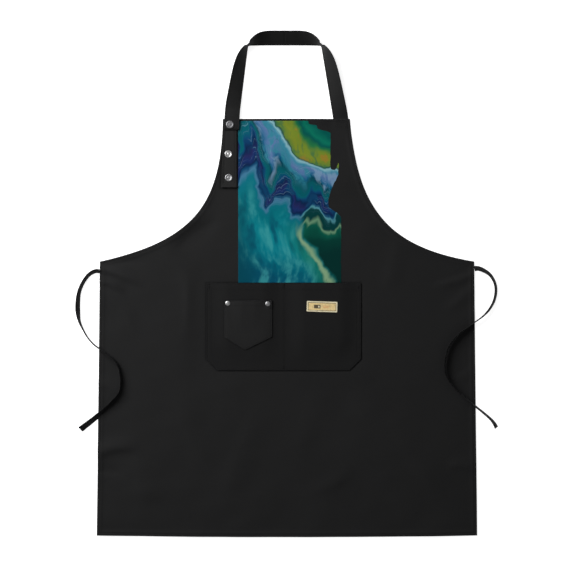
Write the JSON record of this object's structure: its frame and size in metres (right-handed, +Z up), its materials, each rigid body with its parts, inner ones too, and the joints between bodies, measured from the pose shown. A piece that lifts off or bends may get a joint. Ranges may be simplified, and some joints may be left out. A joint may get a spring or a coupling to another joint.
{
  "type": "bib apron",
  "caption": "Painter's bib apron with a snap-fastened neck strap, divided front pocket, riveted patch pocket, marbled print panel and side ties.",
  "frame": {"origin": "on the surface the apron lies on, under the middle of its length and width", "axes": "+X to the right of the front as seen from above, +Y towards the neck, +Z up out of the front"},
  "size_m": [0.7781, 0.9322, 0.028],
  "materials": {
    "canvas": "matte woven cotton canvas, charcoal black",
    "strap_canvas": "matte woven cotton, two layers stitched",
    "tie_tape": "matte woven cotton tape",
    "print": "marbled colours printed on canvas, satin",
    "snap_metal": "nickel plated, softly polished",
    "rivet_metal": "nickel plated, softly polished",
    "label_metal": "brushed pale gold plate",
    "backing_metal": "plain stamped steel"
  },
  "bodies": {
    "root": {"body_panel": "canvas", "art_panel": "print", "front_pocket": "canvas", "patch_pocket": "canvas", "label_plate": "label_metal", "label_backing": "backing_metal", "rivet_head_left": "rivet_metal", "rivet_head_right": "rivet_metal", "rivet_burr_left": "rivet_metal", "rivet_burr_right": "rivet_metal", "snap_placket": "strap_canvas", "snap_post_1": "snap_metal", "snap_post_2": "snap_metal", "snap_post_3": "snap_metal", "snap_stud_1": "snap_metal", "snap_stud_2": "snap_metal", "snap_stud_3": "snap_metal", "strap_anchor": "strap_canvas", "waist_tie_left": "tie_tape", "waist_tie_right": "tie_tape"},
    "neck_strap": {"neck_strap": "strap_canvas"},
    "strap_end": {"strap_end": "strap_canvas", "snap_socket": "snap_metal", "snap_cap": "snap_metal"}
  },
  "joints": [
    {"name": "strap_swing", "type": "hinge", "parent": "root", "child": "neck_strap", "pos_m": [0.1128, 0.3095, 0.0006], "axis": [-0.1608, 0.987, 0], "range_deg": [0, 170]},
    {"name": "end_peel", "type": "hinge", "parent": "neck_strap", "child": "strap_end", "pos_m": [-0.0862, 0.32, 0.0068], "axis": [-0.9928, 0.1194, 0], "range_deg": [0, 150]}
  ]
}
